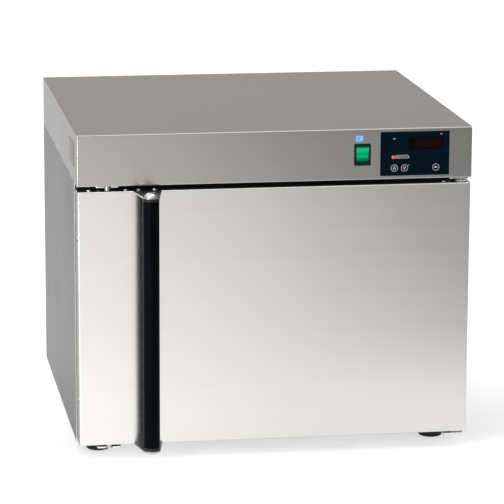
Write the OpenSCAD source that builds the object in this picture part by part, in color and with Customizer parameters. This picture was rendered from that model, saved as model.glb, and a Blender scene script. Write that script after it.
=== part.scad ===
// Bench-top laboratory incubator: stainless cabinet with a control hood over a
// full-width door, a tubular pull handle, and an inner chamber with wire shelves
// and a fan-driven air duct. Millimetres, +Z up, the door faces -Y, and the origin
// lies on the bench in the middle of everything the incubator covers.

/* [Cabinet] */
// width over the side panels
cabinet_width = 600; // [590:2:640]
// depth from the face of the hood to the rear panel
cabinet_depth = 563; // [555:1:600]
// height from the floor panel to the top of the hood
cabinet_height = 480; // [470:1:520]
// height of the control hood above the door
hood_height = 78; // [77:1:86]
// thickness of the outer sheet metal
sheet = 1.2; // [1:0.1:1.4]
// height of the rubber feet
foot_height = 25; // [22:1:32]

/* [Door] */
// thickness of the door
door_thickness = 36; // [34:1:40]
// open gap between the hood and the top of the door
door_gap = 7.5; // [7.2:0.1:9]
// how far the door stays inside each side panel
door_margin = 1.2; // [0.6:0.1:2]
// how far the door ends above the floor panel
door_lift = 3.5; // [3.5:0.1:5]
// gap between the door and the cabinet, filled by the gasket
gasket_gap = 6; // [5.5:0.1:8]
// hinge line in from the right-hand edge of the door
hinge_inset = 12; // [11:0.5:14]

/* [Handle] */
// handle in from the left-hand edge of the door
handle_inset = 105.6; // [95:0.1:160]
// middle of the grip in front of the door
handle_reach = 41.5; // [38:0.5:60]
// diameter of the grip
handle_diameter = 25; // [20:0.5:30]
// width of the bracket plates where they meet the door
bracket_width = 42.5; // [38:0.5:50]

/* [Controls] */
// width of the membrane panel
panel_width = 106; // [100:1:112]
// height of the membrane panel
panel_height = 67; // [64:1:68]
// membrane panel in from the right-hand side
panel_inset = 35.5; // [30:0.5:60]
// diameter of a membrane key
key_diameter = 11; // [9:0.5:12]
// how far a key is pushed in
key_travel = 0.5; // [0.3:0.1:0.6]
// width of the mains switch flange
switch_width = 25.2; // [24:0.2:28]
// height of the mains switch flange
switch_height = 33; // [32:0.2:36]
// angle between the two faces of the rocker
rocker_throw = 16; // [12:1:18]

/* [Chamber] */
// side insulation and liner together
side_wall = 42; // [38:1:60]
// depth of the space behind the liner
rear_space = 58; // [56:1:70]
// depth of the air duct behind the baffle
duct_depth = 50; // [48:1:60]
// rail levels on each shelf rack
rail_levels = 4; // [3:1:5]
// diameter of the fan wheel
fan_diameter = 130; // [100:2:140]

/* [Hidden] */
$fn = 64;

steel_color = [0.78, 0.77, 0.75];
liner_color = [0.85, 0.85, 0.84];
dark_color = [0.09, 0.10, 0.11];
wool_color = [0.86, 0.80, 0.62];

half_width = cabinet_width / 2;
z_floor = foot_height;
z_top = z_floor + cabinet_height;
z_hood = z_top - hood_height;
door_half = half_width - door_margin;
z_door_low = z_floor + door_lift;
z_door_high = z_hood - door_gap;
bracket_tip = handle_diameter / 2 + 1;
rear_reach = 3;
y_hood = -(cabinet_depth + rear_reach - handle_reach - bracket_tip) / 2;
y_cabinet = y_hood + door_thickness + gasket_gap;
y_rear = y_hood + cabinet_depth;
soffit_back = y_cabinet + 8;
edge_radius = 2;

chamber_half = half_width - side_wall;
liner_sheet = 1;
chamber_low = z_floor + 37;
chamber_high = z_hood - 35;
chamber_back = y_rear - rear_space;
chamber_radius = 12;
baffle_y = chamber_back - duct_depth;
chamber_mid = (chamber_low + chamber_high) / 2;
fan_z = chamber_mid;
fit = 0.3;

pivot = [half_width - hinge_inset, y_hood + door_thickness / 2];
catch_x = 46.5 - half_width;
catch_y = y_hood + 10;
handle_x = handle_inset - half_width;
handle_y = y_hood - handle_reach;
bracket_plate = 2.5;
strike_screw_pitch = 55;
handle_screw_pitch = 24;
top_screw_x = half_width - 40.3;
plate_gap = 0.4;

panel_x = half_width - panel_inset - panel_width / 2;
panel_z = z_top - 5.4 - panel_height / 2;
key_z = panel_z - 21.7;
display_size = [54, 19];
display_x = panel_x + 16.7;
display_z = panel_z + 16.1;
switch_x = panel_x - 80.6;
switch_z = z_top - 39;
rocker_radius = 12.9;
rocker_width = 18.8;

shelf_depth = baffle_y - y_cabinet - 33;
shelf_y = y_cabinet + 20;
rail_pitch = (chamber_high - chamber_low) / (rail_levels + 1);
rail_sheet = 1.5;

// ---------------------------------------------------------------- shared shapes

// box between two opposite corners
module span(low, high) {
    translate(low) cube(high - low);
}

// flat rectangle with round corners, centred
module rounded_rect(size, r) {
    square([size.x - 2 * r, size.y], center = true);
    square([size.x, size.y - 2 * r], center = true);
    for (sx = [-1, 1], sy = [-1, 1])
        translate([sx * (size.x / 2 - r), sy * (size.y / 2 - r)]) circle(r);
}

// rectangle from the origin with its two corners at y = 0 rounded
module fronted_rect(size, r) {
    translate([0, r]) square([size.x, size.y - r]);
    translate([r, 0]) square([size.x - 2 * r, size.y]);
    for (x = [r, size.x - r]) translate([x, r]) circle(r);
}

// stands a flat shape up so that it faces -Y, starting at y and running back
module facing(x, y, z, depth) {
    translate([x, y, z]) rotate([90, 0, 0]) mirror([0, 0, 1])
        linear_extrude(depth) children();
}

// round bar along Y from y0 to y1
module bar_y(x, y0, y1, z, d) {
    translate([x, y0, z]) rotate([-90, 0, 0]) cylinder(d = d, h = y1 - y0);
}

// round bar along Z from z0 to z1
module bar_z(x, y, z0, z1, d) {
    translate([x, y, z0]) cylinder(d = d, h = z1 - z0);
}

// chamber section, grown by a margin
module chamber_section(grow) {
    rounded_rect([2 * (chamber_half + grow), chamber_high - chamber_low + 2 * grow],
        chamber_radius + grow);
}

// ---------------------------------------------------------------- cabinet shell

// block with round front edges that the hood and the door are folded from
module folded_block(width, depth, height) {
    intersection() {
        linear_extrude(height) fronted_rect([width, depth], edge_radius);
        rotate([90, 0, 90]) linear_extrude(width) rotate(-90) mirror([1, 0])
            fronted_rect([height, depth], edge_radius);
    }
}

module hood_cover() color(steel_color) {
    inside_x = half_width - sheet;
    difference() {
        translate([-half_width, y_hood, z_hood])
            intersection() {
                folded_block(cabinet_width, cabinet_depth + edge_radius, hood_height);
                cube([cabinet_width, cabinet_depth, hood_height]);
            }
        span([-inside_x, y_hood + sheet, z_hood + sheet],
            [inside_x, y_rear + 1, z_top - sheet]);
        // open underneath behind the soffit
        span([-inside_x, soffit_back, z_hood - 1],
            [inside_x, y_rear + 1, z_hood + 2 * sheet]);
        facing(panel_x, y_hood - 1, panel_z, sheet + 2)
            square([panel_width - 8, panel_height - 8], center = true);
        facing(switch_x, y_hood - 1, switch_z, sheet + 2)
            square([switch_width - 2.6, switch_height - 3.2], center = true);
        at_hood_screws() cylinder(d = hood_screw + 0.2, h = 12, center = true);
        soffit_screws() cylinder(d = 3.2, h = 4 * sheet, center = true);
    }
}

hood_screw = 3.2;
hood_screw_rise = 3.1;

// places for the screws along the hood's lower edge, pointing into the cabinet
module at_hood_screws()
    for (x = [-1, 1], y = [y_hood + 75, y_hood + 456])
        translate([x * half_width, y, z_hood + hood_screw_rise])
            rotate([0, -90 * x, 0]) children();

// small flush screws that hold the hood to the edges of the deck
module hood_screws() color(steel_color)
    at_hood_screws() difference() {
        cylinder(d = hood_screw, h = 6);
        translate([0, 0, -1]) cylinder(d = hood_screw / 2, h = 1.6);
    }

module side_panel(side) color(steel_color) {
    lower_flange = 14;
    difference() {
        mirror([side < 0 ? 1 : 0, 0, 0]) {
            translate([half_width - sheet, y_cabinet, z_floor])
                linear_extrude(z_hood - plate_gap - z_floor)
                    fronted_rect([sheet, y_rear - y_cabinet], sheet / 2 - 0.05);
            // hem folded back along the front edge
            translate([half_width - 2 * sheet, y_cabinet, z_floor + sheet])
                linear_extrude(z_hood - plate_gap - z_floor - sheet)
                    fronted_rect([2 * sheet, 12], sheet - 0.05);
            span([half_width - lower_flange, y_cabinet + sheet + plate_gap,
                    z_floor + sheet],
                [half_width - sheet, y_rear - sheet, z_floor + 2 * sheet]);
        }
        floor_bracket_screws() cylinder(d = 3.2, h = 8 * sheet, center = true);
    }
}

module side_panel_left() side_panel(-1);
module side_panel_right() side_panel(1);

module floor_panel() color(steel_color)
    difference() {
        span([sheet - half_width, y_cabinet + sheet, z_floor],
            [half_width - sheet, y_rear - sheet, z_floor + sheet]);
        at_feet() cylinder(d = foot_stud + 0.4, h = 8 * sheet, center = true);
        floor_bracket_screws() cylinder(d = 3.2, h = 8 * sheet, center = true);
    }

module rear_panel() color(steel_color)
    difference() {
        span([sheet - half_width, y_rear - sheet, z_floor],
            [half_width - sheet, y_rear, z_top - sheet]);
        facing(inlet_x, y_rear - 2 * sheet, inlet_z, 4 * sheet)
            square([inlet_size.x + 0.6, inlet_size.y + 0.6], center = true);
        // air slots for the electronics and for the fan motor
        for (x = [-3 : 3])
            for (z = [z_hood + 20 : 12 : z_top - 24])
                facing(x * 44 + 60, y_rear - 2 * sheet, z, 4 * sheet)
                    rounded_rect([34, 5], 2.45);
        for (x = [-2 : 2])
            facing(x * 14, y_rear - 2 * sheet, fan_z, 4 * sheet)
                rounded_rect([5, 60], 2.45);
    }

deck_flange = 14;

// sheet between the chamber insulation and the electronics, with upturned edges
module top_deck() color(steel_color)
    difference() {
        union() {
            span([sheet - half_width, soffit_back + plate_gap, z_hood],
                [half_width - sheet, y_rear - sheet, z_hood + sheet]);
            for (x = [-1, 1])
                mirror([x < 0 ? 1 : 0, 0, 0])
                    span([half_width - 2 * sheet, soffit_back + plate_gap, z_hood],
                        [half_width - sheet, y_rear - sheet, z_hood + deck_flange]);
        }
        at_hood_screws() cylinder(d = hood_screw + 0.2, h = 12, center = true);
        bar_z(gland_x, gland_y, z_hood - 1, z_hood + 3, gland_bore + 4.4);
        for (p = relay_feet) bar_z(p.x, p.y, z_hood - 1, z_hood + 3, 3);
    }

// black-coated frame around the chamber mouth that the gasket closes on
module front_frame() color(dark_color) {
    inside = half_width - 2 * sheet;
    flange = 12;
    difference() {
        span([-inside, y_cabinet, z_floor], [inside, y_cabinet + sheet, z_hood]);
        facing(0, y_cabinet - 1, chamber_mid, sheet + 2) chamber_section(0);
    }
    // folded edges
    for (x = [-1, 1])
        mirror([x < 0 ? 1 : 0, 0, 0])
            span([inside - sheet, y_cabinet + sheet, z_floor + 3 * sheet],
                [inside, y_cabinet + flange, z_hood]);
    span([-inside, y_cabinet + sheet, z_hood - sheet],
        [inside, y_cabinet + flange, z_hood]);
}

module cabinet_insulation() color(wool_color) {
    outer_x = half_width - 3 * sheet - fit;
    start_y = y_cabinet + sheet + fit;
    difference() {
        span([-outer_x, start_y, z_floor + 3 * sheet + fit],
            [outer_x, y_rear - sheet - fit, z_hood - sheet - fit]);
        facing(0, start_y - 1, chamber_mid, chamber_back + liner_sheet + fit - start_y + 1)
            chamber_section(liner_sheet + fit);
        // pocket for the motor, open to the slots in the rear panel
        facing(0, chamber_back, fan_z, rear_space)
            square([motor_size.x + 10, motor_size.z + 10], center = true);
        for (x = heater_lead_x)
            bar_y(x, chamber_back, y_rear, heater_lead_z, heater_tube + 6);
        bar_y(probe_x, chamber_back, y_rear, probe_z, 18);
        at_feet() cylinder(d = 22, h = 30, center = true);
        floor_bracket_screws() cylinder(d = 12, h = 24, center = true);
    }
}

// ---------------------------------------------------------------- chamber

module inner_liner() color(liner_color) {
    front = y_cabinet + sheet;
    difference() {
        facing(0, front, chamber_mid, chamber_back + liner_sheet - front)
            chamber_section(liner_sheet);
        facing(0, front - 1, chamber_mid, chamber_back - front + 1) chamber_section(0);
        bar_y(0, chamber_back - 1, chamber_back + 5, fan_z, 14);
        for (x = heater_lead_x)
            bar_y(x, chamber_back - 1, chamber_back + 5, heater_lead_z,
                heater_tube + 0.4);
        bar_y(probe_x, chamber_back - 1, chamber_back + 5, probe_z, 12.4);
    }
}

rack_posts = [shelf_y + 40, shelf_y + shelf_depth - 55];
post_width = 14;

module shelf_rack(side) color(liner_color)
    mirror([side < 0 ? 1 : 0, 0, 0]) {
        wall_x = chamber_half;
        for (y = rack_posts)
            span([wall_x - rail_sheet, y, chamber_low + chamber_radius + 2],
                [wall_x, y + post_width, chamber_high - chamber_radius - 2]);
        // angle rails that carry the shelves
        for (level = [1 : rail_levels]) {
            z = chamber_low + level * rail_pitch;
            span([wall_x - 16, shelf_y, z - rail_sheet],
                [wall_x - rail_sheet, shelf_y + shelf_depth, z]);
            span([wall_x - 2 * rail_sheet, shelf_y, z],
                [wall_x - rail_sheet, shelf_y + shelf_depth, z + 10]);
        }
    }

module shelf_rack_left() shelf_rack(-1);
module shelf_rack_right() shelf_rack(1);

// welded wire shelf lying on the rails of one level
module wire_shelf(level) color(liner_color) {
    rod = 6;
    wire = 3;
    wires = 25;
    half = chamber_half - 3 * rail_sheet - fit;
    z = chamber_low + level * rail_pitch + rod / 2 + 0.05;
    for (x = [-1, 1])
        bar_y(x * (half - rod / 2), shelf_y, shelf_y + shelf_depth, z, rod);
    for (y = [rod / 2, shelf_depth / 2, shelf_depth - rod / 2])
        translate([rod / 2 - half, shelf_y + y, z])
            rotate([0, 90, 0]) cylinder(d = rod - 1, h = 2 * half - rod);
    for (i = [1 : wires - 1])
        bar_y(-half + rod / 2 + i * (2 * half - rod) / wires, shelf_y + 1,
            shelf_y + shelf_depth - 1, z + rod / 2 - 0.2, wire);
}

module shelf_upper() wire_shelf(rail_levels - 1);
module shelf_lower() wire_shelf(1);

// sheet in front of the fan: holes to draw in, slots along both sides to blow out
module air_baffle() color(liner_color) {
    edge = 4;
    half = chamber_half - edge;
    low = chamber_low + edge;
    high = chamber_high - edge;
    hole = 7;
    pitch = 12;
    difference() {
        union() {
            span([-half, baffle_y, low], [half, baffle_y + liner_sheet, high]);
            for (x = [-1, 1])
                mirror([x < 0 ? 1 : 0, 0, 0])
                    span([half - liner_sheet, baffle_y, low + chamber_radius],
                        [half, baffle_y + 14, high - chamber_radius]);
        }
        for (ring = [1 : 4])
            for (a = [0 : 60 / ring : 359])
                rotate_about(0, fan_z, a)
                    bar_y(ring * pitch, baffle_y - 1, baffle_y + 3, fan_z, hole);
        bar_y(0, baffle_y - 1, baffle_y + 3, fan_z, hole);
        for (x = [-1, 1], z = [low + 28 : 24 : high - 28])
            facing(x * (half - 34), baffle_y - 1, z, 4) rounded_rect([36, 7], 3.45);
        bar_y(probe_x, baffle_y - 1, baffle_y + 3, probe_z, probe_tube + 1);
    }
}

// turns a child about a line along Y through (x, z)
module rotate_about(x, z, angle) {
    translate([x, 0, z]) rotate([0, angle, 0]) translate([-x, 0, -z]) children();
}

heater_tube = 8;
heater_radius = fan_diameter / 2 + 22;
heater_y = chamber_back - 22;
heater_spread = 9;
heater_lead_x = [for (s = [-1, 1]) s * heater_radius * sin(heater_spread)];
heater_lead_z = fan_z - heater_radius * cos(heater_spread);

// ring of heating tube around the fan with both ends led out at the back
module heater() color([0.35, 0.34, 0.33]) {
    translate([0, heater_y, fan_z]) rotate([90, 90 + heater_spread, 0])
        rotate_extrude(angle = 360 - 2 * heater_spread)
            translate([heater_radius, 0]) circle(d = heater_tube);
    for (x = heater_lead_x) {
        // brazed elbow between the ring and its lead
        translate([x, heater_y, heater_lead_z]) sphere(d = heater_tube + 1.5);
        bar_y(x, heater_y, y_rear - 16, heater_lead_z, heater_tube);
    }
}

motor_size = [72, 44, 62];
shaft = 6;

module fan_motor() color([0.30, 0.31, 0.33]) {
    start = chamber_back + liner_sheet + 2;
    difference() {
        union() {
            facing(0, start, fan_z, 4)
                rounded_rect([motor_size.x, motor_size.z], 6);
            facing(0, start + 4, fan_z, 22)
                rounded_rect([motor_size.x - 14, motor_size.z - 8], 3);
            bar_y(0, start, start + motor_size.y, fan_z, 40);
            for (x = [-1, 1], z = [-1, 1])
                bar_y(x * (motor_size.x / 2 - 7), start - 2, start + 6,
                    fan_z + z * (motor_size.z / 2 - 7), 7);
        }
        bar_y(0, start - 1, start + motor_size.y - 6, fan_z, shaft + 0.1);
    }
}

module fan_shaft() color(steel_color)
    bar_y(0, baffle_y + 14, chamber_back + liner_sheet + motor_size.y - 8, fan_z,
        shaft);

// radial wheel: back plate, hub, front ring and straight blades
module fan_wheel() color(liner_color) {
    front = baffle_y + 12;
    back = front + 26;
    r = fan_diameter / 2;
    blades = 16;
    difference() {
        union() {
            bar_y(0, back - 1.5, back, fan_z, fan_diameter);
            bar_y(0, front + 4, back, fan_z, 18);
            difference() {
                bar_y(0, front, front + 1.5, fan_z, fan_diameter);
                bar_y(0, front - 1, front + 3, fan_z, fan_diameter - 40);
            }
            for (i = [0 : blades - 1])
                rotate_about(0, fan_z, i * 360 / blades)
                    span([r - 20, front + 0.5, fan_z - 0.7],
                        [r - 1, back - 0.5, fan_z + 0.7]);
        }
        bar_y(0, front - 1, back + 1, fan_z, shaft);
    }
}

probe_tube = 5;
probe_x = 150;
probe_z = chamber_high - 42;

module temperature_probe() color(steel_color) {
    bar_y(probe_x, baffle_y - 34, chamber_back + 20, probe_z, probe_tube);
    translate([probe_x, baffle_y - 34, probe_z]) sphere(d = probe_tube);
    bar_y(probe_x, chamber_back - 3, chamber_back + 16, probe_z, 12);
    bar_y(probe_x, chamber_back - 6, chamber_back, probe_z, 18);
}

// bulb of the over-temperature cut-out, clipped to the back wall of the duct
module limit_sensor() color([0.72, 0.45, 0.25]) {
    bulb_x = -170;
    bulb_y = chamber_back - 10;
    bar_z(bulb_x, bulb_y, probe_z - 90, probe_z, 8);
    for (z = [probe_z - 75, probe_z - 15])
        difference() {
            span([bulb_x - 7, bulb_y - 6, z - 4], [bulb_x + 7, chamber_back, z + 4]);
            span([bulb_x - 3.9, bulb_y - 7, z - 5], [bulb_x + 3.9, bulb_y, z + 5]);
        }
}

// ---------------------------------------------------------------- controls

key_up_x = panel_x - 31.6;
key_down_x = panel_x - 15.9;
key_set_x = panel_x + 32.4;
key_places = [key_up_x, key_down_x, key_set_x];

module keypad_overlay() color(dark_color)
    difference() {
        facing(panel_x, y_hood - 0.8, panel_z, 0.8)
            rounded_rect([panel_width, panel_height], 1);
        facing(display_x, y_hood - 2, display_z, 4) square(display_size, center = true);
        for (x = key_places)
            bar_y(x, y_hood - 2, y_hood + 2, key_z, key_diameter + 0.8);
    }

module display_window() color([0.16, 0.03, 0.03])
    facing(display_x, y_hood - 0.7, display_z, 1.7)
        square(display_size - [0.2, 0.2], center = true);

// round membrane key with a shallow dished face
module key_cap(x) color(dark_color)
    difference() {
        bar_y(x, y_hood - 1.1, y_hood + 0.9, key_z, key_diameter);
        bar_y(x, y_hood - 2, y_hood - 0.9, key_z, key_diameter - 1.6);
    }

module key_up() key_cap(key_up_x);
module key_down() key_cap(key_down_x);
module key_set() key_cap(key_set_x);

controller_size = [panel_width - 10, 58, panel_height - 10];

// moulded case behind the membrane panel, open at the back
module controller_housing() color([0.15, 0.15, 0.16]) {
    wall = 2;
    start = y_hood + 2;
    difference() {
        facing(panel_x, start, panel_z, controller_size.y)
            rounded_rect([controller_size.x, controller_size.z], 3);
        facing(panel_x, start + wall, panel_z, controller_size.y)
            rounded_rect([controller_size.x - 2 * wall, controller_size.z - 2 * wall],
                2);
        facing(display_x, start - 1, display_z, 4)
            square(display_size - [4, 4], center = true);
    }
}

module controller_board() color([0.10, 0.38, 0.20]) {
    board_y = y_hood + 14;
    facing(panel_x, board_y, panel_z, 1.6)
        square([controller_size.x - 5, controller_size.z - 5], center = true);
    facing(display_x, board_y - 9.5, display_z, 9.5)
        square(display_size - [6, 5], center = true);
    for (x = key_places) bar_y(x, board_y - 9, board_y, key_z, 6);
    for (x = [-30, -12, 6])
        bar_y(panel_x + x, board_y + 1.6, board_y + 20, panel_z + 8, 12);
    facing(panel_x + 10, board_y + 1.6, panel_z - 12, 16)
        square([52, 12], center = true);
}

// the rocker's section about its pivot, faces at equal slopes
module rocker_section(r) {
    face = 1.8;
    rise = r * tan(rocker_throw / 2);
    intersection() {
        circle(r);
        polygon([[-face, 0], [-face - rise, r], [r / 2, r], [r / 2, -r],
            [-face - rise, -r]]);
    }
}

rocker_pivot_y = y_hood + 1;
trunnion = 3;

module switch_body() color(dark_color) {
    back = 22;
    difference() {
        union() {
            facing(switch_x, y_hood - 2, switch_z, 2)
                rounded_rect([switch_width, switch_height], 1.5);
            facing(switch_x, y_hood - 0.1, switch_z, back)
                square([switch_width - 3.2, switch_height - 3.8], center = true);
        }
        translate([switch_x, rocker_pivot_y, switch_z]) rotate([0, 90, 0])
            cylinder(r = rocker_radius + fit, h = rocker_width + 2 * fit,
                center = true);
        facing(switch_x, y_hood - 3, switch_z, 4)
            square([rocker_width + 2 * fit, 2 * (rocker_radius + fit)], center = true);
        translate([switch_x, rocker_pivot_y, switch_z]) rotate([0, 90, 0])
            cylinder(d = trunnion + 0.1, h = rocker_width + 2 * fit + 1.4,
                center = true);
    }
    for (x = [-1, 0, 1])
        facing(switch_x + x * 6, y_hood + back - 0.2, switch_z, 9)
            square([0.8, 6.3], center = true);
}

// rests switched off: the lower half pushed in, the upper half standing out
module switch_rocker() color([0.05, 0.62, 0.30])
    translate([switch_x, rocker_pivot_y, switch_z]) {
        rotate([rocker_throw / 2, 0, 0])
            rotate([90, 0, 90]) linear_extrude(rocker_width, center = true)
                rocker_section(rocker_radius);
        rotate([0, 90, 0])
            cylinder(d = trunnion, h = rocker_width + 2 * fit + 1, center = true);
    }

module switch_label() color([0.20, 0.45, 0.85])
    facing(switch_x - 4.8, y_hood - 0.6, z_top - 14.4, 0.6)
        rounded_rect([11.6, 9.8], 0.8);

module terminal_block() color([0.80, 0.80, 0.76]) {
    ways = 10;
    pitch = 10;
    base = [-120, y_hood + 180, z_hood + sheet];
    difference() {
        span(base, base + [ways * pitch, 22, 20]);
        for (i = [0 : ways - 1])
            translate([base.x + (i + 0.5) * pitch, base.y, base.z]) {
                for (y = [6, 16]) translate([0, y, 8]) cylinder(d = 5, h = 20);
                translate([0, -1, 4]) rotate([-90, 0, 0]) cylinder(d = 4, h = 24);
            }
    }
}

relay_feet = [for (x = [60, 120]) [x, y_hood + 200]];

// solid-state relay on a finned heatsink
module relay_heatsink() color([0.55, 0.56, 0.58]) {
    fins = 9;
    base = [50, y_hood + 160, z_hood + sheet];
    span(base, base + [80, 90, 6]);
    for (i = [0 : fins - 1])
        span(base + [i * 80 / fins + 2, 0, 5], base + [i * 80 / fins + 4, 40, 36]);
    span(base + [18, 44, 5], base + [62, 88, 28]);
    for (p = relay_feet) bar_z(p.x, p.y, z_hood - 0.5, z_hood + 12, 2.9);
}

inlet_size = [27, 20];
inlet_x = -220;
inlet_z = z_hood + 38;

// mains inlet: flange outside the rear panel, shrouded socket inside
module power_inlet() color(dark_color)
    difference() {
        union() {
            facing(inlet_x, y_rear, inlet_z, rear_reach)
                rounded_rect([50, 26], 4);
            facing(inlet_x, y_rear - 24, inlet_z, 24.1)
                square(inlet_size, center = true);
        }
        facing(inlet_x, y_rear - 17, inlet_z, 22)
            rounded_rect([24, 16.5], 3);
        for (x = [-1, 1]) bar_y(inlet_x + x * 20, y_rear - 1, y_rear + 5, inlet_z, 3.5);
        for (p = inlet_pin_places)
            facing(inlet_x + p.x, y_rear - 25, inlet_z + p.y, 12)
                square([2.1, 4.1], center = true);
    }

inlet_pin_places = [[-7, -3.5], [0, -0.5], [7, -3.5]];

module inlet_pins() color([0.80, 0.66, 0.35])
    for (p = inlet_pin_places)
        facing(inlet_x + p.x, y_rear - 32, inlet_z + p.y, 28)
            square([2, 4], center = true);

gland_x = -170;
gland_y = y_hood + 420;
gland_bore = 12;

module cable_gland() color(dark_color)
    difference() {
        union() {
            bar_z(gland_x, gland_y, z_hood - 0.1, z_hood + sheet + 8, gland_bore + 4);
            bar_z(gland_x, gland_y, z_hood + sheet, z_hood + sheet + 3,
                gland_bore + 10);
        }
        bar_z(gland_x, gland_y, z_hood - 1, z_hood + 20, gland_bore);
    }

module rating_plate() color([0.50, 0.47, 0.44])
    span([-half_width - 0.4, y_hood + 40, z_top - 54],
        [-half_width, y_hood + 105, z_top - 19]);

// ---------------------------------------------------------------- hinges, catches

hinge_plate = [30, 33];
hinge_plate_x = half_width - 18;
hinge_pin = 8;
bracket_sheet = 2.4;
lower_bracket_length = y_cabinet - y_hood + 18;
catch_plate = [36, 30];
magnet = 10;

// flat bracket that starts under the hood or floor edge and runs back
module bracket_blank(x, size, z, length) {
    translate([x, y_hood + 5, z]) linear_extrude(bracket_sheet) {
        translate([-size.x / 2, 3]) square([size.x, length - 3]);
        translate([3 - size.x / 2, 0]) square([size.x - 6, length]);
        for (s = [-1, 1]) translate([s * (size.x / 2 - 3), 3]) circle(3);
    }
}

// places for the screws that hold the upper brackets to the soffit
module soffit_screws() {
    for (s = [-1, 1]) {
        translate([hinge_plate_x + s * 9, y_hood + 33, z_hood]) children();
        translate([catch_x + s * 11, y_hood + 30, z_hood]) children();
    }
}

// places for the screws that hold the lower brackets to the floor panel
module floor_bracket_screws() {
    for (x = [hinge_plate_x - 1, catch_x], s = [-1, 1])
        translate([x + s * 9, y_cabinet + 14, z_floor]) children();
}

module hinge_bracket_top() color(steel_color)
    difference() {
        bracket_blank(hinge_plate_x, hinge_plate, z_hood - bracket_sheet, 34);
        bar_z(pivot.x, pivot.y, z_hood - 5, z_hood + 1, hinge_pin);
        soffit_screws() cylinder(d = 3.2, h = 12, center = true);
    }

module hinge_bracket_bottom() color(steel_color)
    difference() {
        bracket_blank(hinge_plate_x - 1, hinge_plate, z_floor - bracket_sheet,
            lower_bracket_length);
        bar_z(pivot.x, pivot.y, z_floor - 5, z_floor + 1, hinge_pin);
        floor_bracket_screws() cylinder(d = 3.2, h = 12, center = true);
    }

// one pin down into the door from the top bracket, one up from the bottom bracket
module hinge_pins() color([0.70, 0.70, 0.68]) {
    bar_z(pivot.x, pivot.y, z_door_high - 13, z_hood, hinge_pin);
    bar_z(pivot.x, pivot.y, z_floor - bracket_sheet, z_door_low + 13, hinge_pin);
}

bush_outer = 14;
bush_flange = 18;

// flanged bearing bushes pressed into the top and bottom of the door
module hinge_bushes() color([0.90, 0.88, 0.82]) {
    low_seat = z_floor + fit;
    difference() {
        union() {
            bar_z(pivot.x, pivot.y, z_door_high - 16, z_door_high, bush_outer);
            bar_z(pivot.x, pivot.y, z_door_high, z_door_high + 1.5, bush_flange);
        }
        bar_z(pivot.x, pivot.y, z_door_high - 14, z_door_high + 5, hinge_pin + 0.1);
    }
    difference() {
        union() {
            bar_z(pivot.x, pivot.y, z_door_low, z_door_low + 16, bush_outer);
            bar_z(pivot.x, pivot.y, low_seat, z_door_low, bush_flange);
        }
        bar_z(pivot.x, pivot.y, low_seat - 1, z_door_low + 14, hinge_pin + 0.1);
    }
}

module catch_bracket_top() color(steel_color)
    difference() {
        bracket_blank(catch_x, catch_plate, z_hood - bracket_sheet, 31);
        bar_z(catch_x, catch_y, z_hood - 5, z_hood + 1, magnet);
        span([catch_x - magnet / 2, y_hood, z_hood - 5],
            [catch_x + magnet / 2, catch_y, z_hood + 1]);
        soffit_screws() cylinder(d = 3.2, h = 12, center = true);
    }

module catch_bracket_bottom() color(steel_color)
    difference() {
        bracket_blank(catch_x, catch_plate, z_floor - bracket_sheet,
            lower_bracket_length);
        bar_z(catch_x, catch_y, z_floor - 5, z_floor + 1, magnet);
        span([catch_x - magnet / 2, y_hood, z_floor - 5],
            [catch_x + magnet / 2, catch_y, z_floor + 1]);
        floor_bracket_screws() cylinder(d = 3.2, h = 12, center = true);
    }

// round magnets that hold the door shut, a hair away from the strike plates
module catch_magnets() color([0.62, 0.60, 0.56]) {
    bar_z(catch_x, catch_y, z_door_high + plate_gap, z_hood, magnet);
    bar_z(catch_x, catch_y, z_floor - bracket_sheet, z_door_low - plate_gap, magnet);
}

// pan-head screw at the origin, head upwards
module pan_screw(length) {
    difference() {
        union() {
            cylinder(d = 7, h = 1.4);
            translate([0, 0, 1.3]) cylinder(d1 = 7, d2 = 5, h = 0.7);
            translate([0, 0, -length]) cylinder(d = 3, h = length + 0.1);
        }
        for (a = [0, 90]) rotate(a)
            translate([0, 0, 1.7]) cube([3.6, 0.8, 1], center = true);
    }
}

module bracket_screws() color(steel_color) {
    soffit_screws() translate([0, 0, -bracket_sheet]) rotate([180, 0, 0])
        pan_screw(7);
    floor_bracket_screws() translate([0, 0, -bracket_sheet]) rotate([180, 0, 0])
        pan_screw(7);
}

strike_size = [67, 16];
strike_sheet = 2;
strike_y = y_hood + 11;

// steel plates let into the top and bottom edges of the door
module strike_plates() color([0.66, 0.66, 0.65])
    for (z = [z_door_low, z_door_high - strike_sheet])
        difference() {
            translate([catch_x, strike_y, z]) linear_extrude(strike_sheet)
                rounded_rect(strike_size, 3);
            for (s = [-1, 1])
                bar_z(catch_x + s * strike_screw_pitch / 2, strike_y, z - 1, z + 4,
                    3.2);
        }

// ---------------------------------------------------------------- door

// screw places along the top and bottom edges of the door, heads outwards
module door_edge_screws() {
    places = [
        [catch_x - strike_screw_pitch / 2, strike_y],
        [catch_x + strike_screw_pitch / 2, strike_y],
        [handle_x - handle_screw_pitch / 2, y_hood + 11],
        [handle_x + handle_screw_pitch / 2, y_hood + 11],
        [top_screw_x, y_hood + 12]];
    for (p = places) {
        translate([p.x, p.y, z_door_high]) children();
        translate([p.x, p.y, z_door_low]) rotate([180, 0, 0]) children();
    }
}

module door_screws() color([0.86, 0.86, 0.85]) door_edge_screws() pan_screw(8);

clip_z = [z_door_high - 72, z_door_low + 70];
clip_y = y_hood + 12;

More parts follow.
